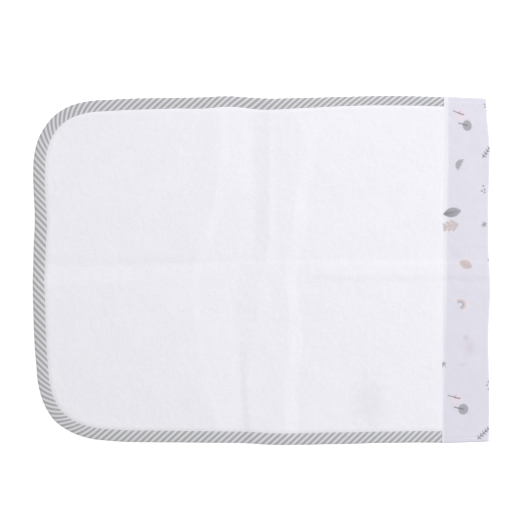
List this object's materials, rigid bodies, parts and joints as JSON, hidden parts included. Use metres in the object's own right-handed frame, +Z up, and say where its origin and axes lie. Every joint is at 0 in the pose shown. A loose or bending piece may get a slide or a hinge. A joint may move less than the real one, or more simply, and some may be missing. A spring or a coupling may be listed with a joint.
{
  "type": "hooded baby towel",
  "caption": "Flat rectangular terry baby towel with two rounded corners, a striped folded edge binding and a printed cotton band; it folds in half.",
  "frame": {"origin": "centre of the towel's outline, on the surface that it lies on", "axes": "+X along the length, towards the printed band; +Y across the width; +Z up, out of the front face"},
  "size_m": [1, 0.76, 0.0056],
  "materials": {
    "terry": "white cotton loop terry",
    "striped_cotton": "plain weave cotton with slanted grey and white stripes",
    "printed_cotton": "plain weave cotton, off-white with small printed trees and leaves",
    "sewing_thread": "white sewing thread"
  },
  "bodies": {
    "band_half": {"terry_panel_band_half": "terry", "striped_binding_side_a": "striped_cotton", "striped_binding_side_b": "striped_cotton", "printed_band": "printed_cotton", "binding_thread_front_side_a": "sewing_thread", "binding_thread_front_side_b": "sewing_thread", "binding_thread_back_side_a": "sewing_thread", "binding_thread_back_side_b": "sewing_thread", "band_seam_thread_front": "sewing_thread", "band_seam_thread_back": "sewing_thread", "band_end_thread_front_side_a": "sewing_thread", "band_end_thread_front_side_b": "sewing_thread", "band_end_thread_back_side_a": "sewing_thread", "band_end_thread_back_side_b": "sewing_thread"},
    "free_half": {"terry_panel_free_half": "terry", "striped_binding_free_end": "striped_cotton", "binding_thread_front_free_end": "sewing_thread", "binding_thread_back_free_end": "sewing_thread"}
  },
  "joints": [
    {"name": "fold_in_half", "type": "hinge", "parent": "band_half", "child": "free_half", "pos_m": [0, 0, 0.0096], "axis": [0, 1, 0], "range_deg": [0, 180]}
  ]
}
